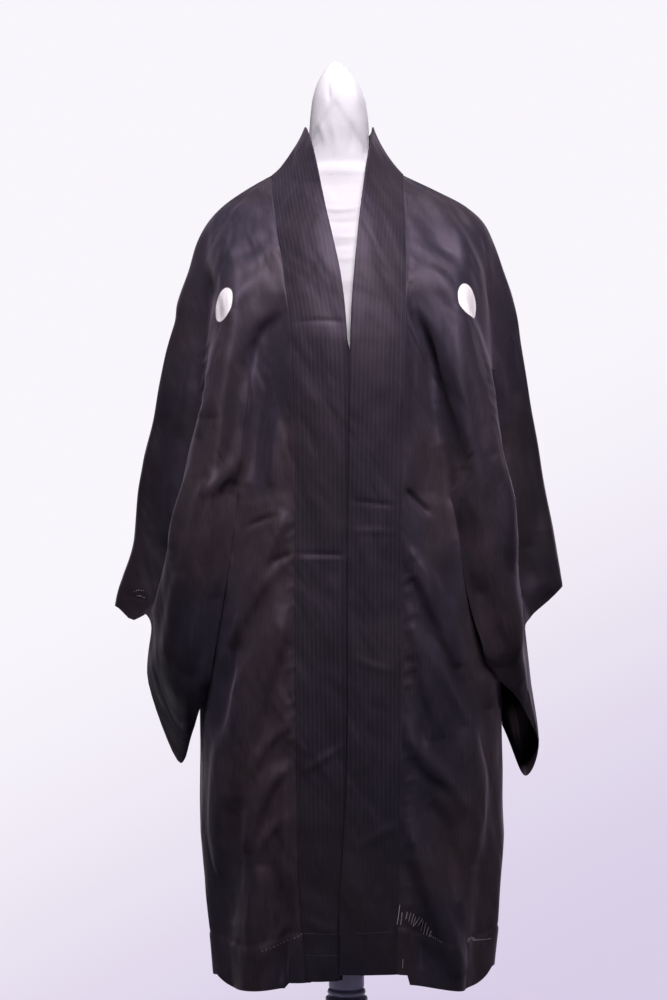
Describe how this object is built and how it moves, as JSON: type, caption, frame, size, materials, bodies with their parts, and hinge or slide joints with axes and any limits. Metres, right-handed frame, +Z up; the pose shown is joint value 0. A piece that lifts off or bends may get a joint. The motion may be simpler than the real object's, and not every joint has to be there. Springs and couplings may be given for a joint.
{
  "type": "haori jacket on a covered limbless dress form and turned stand",
  "caption": "Open-fronted, hip-length silk haori jacket with wide bag sleeves and a full-length collar band, on a covered dress form and turned stand.",
  "frame": {"origin": "centre of the stand base's underside, on the floor under the post", "axes": "+Z up along the post, -Y out of the jacket's open front, +X towards the wearer's left sleeve"},
  "size_m": [0.5464, 0.352, 1.574],
  "materials": {
    "haori_silk": "plain-woven black-brown silk with a soft purple sheen",
    "collar_silk": "folded black silk band with fine lengthwise stripes",
    "cover_cotton": "white cotton cover, matt",
    "stand_paint": "grey-lavender paint, satin"
  },
  "bodies": {
    "root": {"body_right": "haori_silk", "body_left": "haori_silk", "sleeve_right": "haori_silk", "sleeve_left": "haori_silk", "gusset_right": "haori_silk", "gusset_left": "haori_silk", "collar_right": "collar_silk", "collar_left": "collar_silk", "form_torso": "cover_cotton", "form_neck": "cover_cotton", "stand_post": "stand_paint", "stand_base": "stand_paint"}
  },
  "joints": []
}
